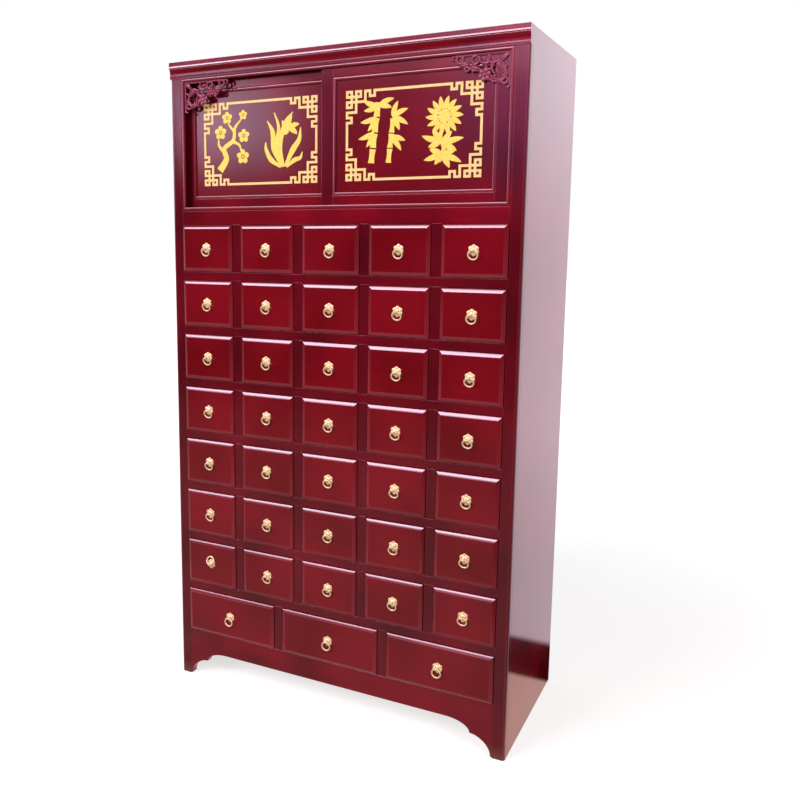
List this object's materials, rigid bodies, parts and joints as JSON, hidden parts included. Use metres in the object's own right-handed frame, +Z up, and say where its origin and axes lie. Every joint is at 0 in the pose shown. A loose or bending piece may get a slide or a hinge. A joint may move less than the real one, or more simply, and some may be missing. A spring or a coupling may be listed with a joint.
{
  "type": "chinese medicine cabinet",
  "caption": "Tall red lacquered cabinet with rows of small drawers on ring pulls, wide drawers below and a compartment with two sliding doors and gold fret above.",
  "frame": {"origin": "middle of the base, on the floor", "axes": "+X to the right of someone who faces the cabinet, +Y from its front to its back, +Z up"},
  "size_m": [1.2, 0.6, 2.15],
  "materials": {
    "red_lacquer": "glossy dark red lacquer over rosewood-like grain",
    "dark_lacquer": "darker red lacquer, satin",
    "raw_wood": "planed, unlacquered",
    "brass": "polished, pale gold",
    "gold_paint": "raised fret in gold paint"
  },
  "bodies": {
    "cabinet": {"side_boards": "red_lacquer", "cross_boards": "dark_lacquer", "back_panel": "dark_lacquer", "partitions": "raw_wood", "drawer_runners": "raw_wood", "front_posts": "red_lacquer", "front_rails": "red_lacquer", "front_muntins": "red_lacquer", "front_apron": "red_lacquer", "cornice": "red_lacquer", "opening_bead": "red_lacquer", "door_tracks": "dark_lacquer", "corner_spandrels": "red_lacquer"},
    "left_door": {"left_door_frame": "red_lacquer", "left_door_panel": "dark_lacquer", "left_door_fret": "gold_paint"},
    "right_door": {"right_door_frame": "red_lacquer", "right_door_panel": "dark_lacquer", "right_door_fret": "gold_paint"},
    "drawer_r1c1": {"drawer_r1c1": "red_lacquer"},
    "drawer_r1c2": {"drawer_r1c2": "red_lacquer"},
    "drawer_r1c3": {"drawer_r1c3": "red_lacquer"},
    "drawer_r1c4": {"drawer_r1c4": "red_lacquer"},
    "drawer_r1c5": {"drawer_r1c5": "red_lacquer"},
    "drawer_r2c1": {"drawer_r2c1": "red_lacquer"},
    "drawer_r2c2": {"drawer_r2c2": "red_lacquer"},
    "drawer_r2c3": {"drawer_r2c3": "red_lacquer"},
    "drawer_r2c4": {"drawer_r2c4": "red_lacquer"},
    "drawer_r2c5": {"drawer_r2c5": "red_lacquer"},
    "drawer_r3c1": {"drawer_r3c1": "red_lacquer"},
    "drawer_r3c2": {"drawer_r3c2": "red_lacquer"},
    "drawer_r3c3": {"drawer_r3c3": "red_lacquer"},
    "drawer_r3c4": {"drawer_r3c4": "red_lacquer"},
    "drawer_r3c5": {"drawer_r3c5": "red_lacquer"},
    "drawer_r4c1": {"drawer_r4c1": "red_lacquer"},
    "drawer_r4c2": {"drawer_r4c2": "red_lacquer"},
    "drawer_r4c3": {"drawer_r4c3": "red_lacquer"},
    "drawer_r4c4": {"drawer_r4c4": "red_lacquer"},
    "drawer_r4c5": {"drawer_r4c5": "red_lacquer"},
    "drawer_r5c1": {"drawer_r5c1": "red_lacquer"},
    "drawer_r5c2": {"drawer_r5c2": "red_lacquer"},
    "drawer_r5c3": {"drawer_r5c3": "red_lacquer"},
    "drawer_r5c4": {"drawer_r5c4": "red_lacquer"},
    "drawer_r5c5": {"drawer_r5c5": "red_lacquer"},
    "drawer_r6c1": {"drawer_r6c1": "red_lacquer"},
    "drawer_r6c2": {"drawer_r6c2": "red_lacquer"},
    "drawer_r6c3": {"drawer_r6c3": "red_lacquer"},
    "drawer_r6c4": {"drawer_r6c4": "red_lacquer"},
    "drawer_r6c5": {"drawer_r6c5": "red_lacquer"},
    "drawer_r7c1": {"drawer_r7c1": "red_lacquer"},
    "drawer_r7c2": {"drawer_r7c2": "red_lacquer"},
    "drawer_r7c3": {"drawer_r7c3": "red_lacquer"},
    "drawer_r7c4": {"drawer_r7c4": "red_lacquer"},
    "drawer_r7c5": {"drawer_r7c5": "red_lacquer"},
    "wide_drawer_1": {"wide_drawer_1": "red_lacquer"},
    "wide_drawer_2": {"wide_drawer_2": "red_lacquer"},
    "wide_drawer_3": {"wide_drawer_3": "red_lacquer"},
    "wide_ring_1": {"wide_ring_1": "brass"},
    "wide_ring_2": {"wide_ring_2": "brass"},
    "wide_ring_3": {"wide_ring_3": "brass"}
  },
  "joints": [
    {"name": "left_door_slide", "type": "slide", "parent": "cabinet", "child": "left_door", "axis": [1, 0, 0], "range_m": [0, 0.556]},
    {"name": "right_door_slide", "type": "slide", "parent": "cabinet", "child": "right_door", "axis": [1, 0, 0], "range_m": [-0.512, 0]},
    {"name": "drawer_r1c1_slide", "type": "slide", "parent": "cabinet", "child": "drawer_r1c1", "axis": [0, -1, 0], "range_m": [0, 0.4]},
    {"name": "drawer_r1c2_slide", "type": "slide", "parent": "cabinet", "child": "drawer_r1c2", "axis": [0, -1, 0], "range_m": [0, 0.4]},
    {"name": "drawer_r1c3_slide", "type": "slide", "parent": "cabinet", "child": "drawer_r1c3", "axis": [0, -1, 0], "range_m": [0, 0.4]},
    {"name": "drawer_r1c4_slide", "type": "slide", "parent": "cabinet", "child": "drawer_r1c4", "axis": [0, -1, 0], "range_m": [0, 0.4]},
    {"name": "drawer_r1c5_slide", "type": "slide", "parent": "cabinet", "child": "drawer_r1c5", "axis": [0, -1, 0], "range_m": [0, 0.4]},
    {"name": "drawer_r2c1_slide", "type": "slide", "parent": "cabinet", "child": "drawer_r2c1", "axis": [0, -1, 0], "range_m": [0, 0.4]},
    {"name": "drawer_r2c2_slide", "type": "slide", "parent": "cabinet", "child": "drawer_r2c2", "axis": [0, -1, 0], "range_m": [0, 0.4]},
    {"name": "drawer_r2c3_slide", "type": "slide", "parent": "cabinet", "child": "drawer_r2c3", "axis": [0, -1, 0], "range_m": [0, 0.4]},
    {"name": "drawer_r2c4_slide", "type": "slide", "parent": "cabinet", "child": "drawer_r2c4", "axis": [0, -1, 0], "range_m": [0, 0.4]},
    {"name": "drawer_r2c5_slide", "type": "slide", "parent": "cabinet", "child": "drawer_r2c5", "axis": [0, -1, 0], "range_m": [0, 0.4]},
    {"name": "drawer_r3c1_slide", "type": "slide", "parent": "cabinet", "child": "drawer_r3c1", "axis": [0, -1, 0], "range_m": [0, 0.4]},
    {"name": "drawer_r3c2_slide", "type": "slide", "parent": "cabinet", "child": "drawer_r3c2", "axis": [0, -1, 0], "range_m": [0, 0.4]},
    {"name": "drawer_r3c3_slide", "type": "slide", "parent": "cabinet", "child": "drawer_r3c3", "axis": [0, -1, 0], "range_m": [0, 0.4]},
    {"name": "drawer_r3c4_slide", "type": "slide", "parent": "cabinet", "child": "drawer_r3c4", "axis": [0, -1, 0], "range_m": [0, 0.4]},
    {"name": "drawer_r3c5_slide", "type": "slide", "parent": "cabinet", "child": "drawer_r3c5", "axis": [0, -1, 0], "range_m": [0, 0.4]},
    {"name": "drawer_r4c1_slide", "type": "slide", "parent": "cabinet", "child": "drawer_r4c1", "axis": [0, -1, 0], "range_m": [0, 0.4]},
    {"name": "drawer_r4c2_slide", "type": "slide", "parent": "cabinet", "child": "drawer_r4c2", "axis": [0, -1, 0], "range_m": [0, 0.4]},
    {"name": "drawer_r4c3_slide", "type": "slide", "parent": "cabinet", "child": "drawer_r4c3", "axis": [0, -1, 0], "range_m": [0, 0.4]},
    {"name": "drawer_r4c4_slide", "type": "slide", "parent": "cabinet", "child": "drawer_r4c4", "axis": [0, -1, 0], "range_m": [0, 0.4]},
    {"name": "drawer_r4c5_slide", "type": "slide", "parent": "cabinet", "child": "drawer_r4c5", "axis": [0, -1, 0], "range_m": [0, 0.4]},
    {"name": "drawer_r5c1_slide", "type": "slide", "parent": "cabinet", "child": "drawer_r5c1", "axis": [0, -1, 0], "range_m": [0, 0.4]},
    {"name": "drawer_r5c2_slide", "type": "slide", "parent": "cabinet", "child": "drawer_r5c2", "axis": [0, -1, 0], "range_m": [0, 0.4]},
    {"name": "drawer_r5c3_slide", "type": "slide", "parent": "cabinet", "child": "drawer_r5c3", "axis": [0, -1, 0], "range_m": [0, 0.4]},
    {"name": "drawer_r5c4_slide", "type": "slide", "parent": "cabinet", "child": "drawer_r5c4", "axis": [0, -1, 0], "range_m": [0, 0.4]},
    {"name": "drawer_r5c5_slide", "type": "slide", "parent": "cabinet", "child": "drawer_r5c5", "axis": [0, -1, 0], "range_m": [0, 0.4]},
    {"name": "drawer_r6c1_slide", "type": "slide", "parent": "cabinet", "child": "drawer_r6c1", "axis": [0, -1, 0], "range_m": [0, 0.4]},
    {"name": "drawer_r6c2_slide", "type": "slide", "parent": "cabinet", "child": "drawer_r6c2", "axis": [0, -1, 0], "range_m": [0, 0.4]},
    {"name": "drawer_r6c3_slide", "type": "slide", "parent": "cabinet", "child": "drawer_r6c3", "axis": [0, -1, 0], "range_m": [0, 0.4]},
    {"name": "drawer_r6c4_slide", "type": "slide", "parent": "cabinet", "child": "drawer_r6c4", "axis": [0, -1, 0], "range_m": [0, 0.4]},
    {"name": "drawer_r6c5_slide", "type": "slide", "parent": "cabinet", "child": "drawer_r6c5", "axis": [0, -1, 0], "range_m": [0, 0.4]},
    {"name": "drawer_r7c1_slide", "type": "slide", "parent": "cabinet", "child": "drawer_r7c1", "axis": [0, -1, 0], "range_m": [0, 0.4]},
    {"name": "drawer_r7c2_slide", "type": "slide", "parent": "cabinet", "child": "drawer_r7c2", "axis": [0, -1, 0], "range_m": [0, 0.4]},
    {"name": "drawer_r7c3_slide", "type": "slide", "parent": "cabinet", "child": "drawer_r7c3", "axis": [0, -1, 0], "range_m": [0, 0.4]},
    {"name": "drawer_r7c4_slide", "type": "slide", "parent": "cabinet", "child": "drawer_r7c4", "axis": [0, -1, 0], "range_m": [0, 0.4]},
    {"name": "drawer_r7c5_slide", "type": "slide", "parent": "cabinet", "child": "drawer_r7c5", "axis": [0, -1, 0], "range_m": [0, 0.4]},
    {"name": "wide_drawer_1_slide", "type": "slide", "parent": "cabinet", "child": "wide_drawer_1", "axis": [0, -1, 0], "range_m": [0, 0.4]},
    {"name": "wide_drawer_2_slide", "type": "slide", "parent": "cabinet", "child": "wide_drawer_2", "axis": [0, -1, 0], "range_m": [0, 0.4]},
    {"name": "wide_drawer_3_slide", "type": "slide", "parent": "cabinet", "child": "wide_drawer_3", "axis": [0, -1, 0], "range_m": [0, 0.4]},
    {"name": "wide_ring_1_swing", "type": "hinge", "parent": "wide_drawer_1", "child": "wide_ring_1", "pos_m": [-0.38333, -0.2955, 0.2555], "axis": [-1, 0, 0], "range_deg": [-18, 198]},
    {"name": "wide_ring_2_swing", "type": "hinge", "parent": "wide_drawer_2", "child": "wide_ring_2", "pos_m": [0, -0.2955, 0.2555], "axis": [-1, 0, 0], "range_deg": [-18, 198]},
    {"name": "wide_ring_3_swing", "type": "hinge", "parent": "wide_drawer_3", "child": "wide_ring_3", "pos_m": [0.38333, -0.2955, 0.2555], "axis": [-1, 0, 0], "range_deg": [-18, 198]}
  ]
}
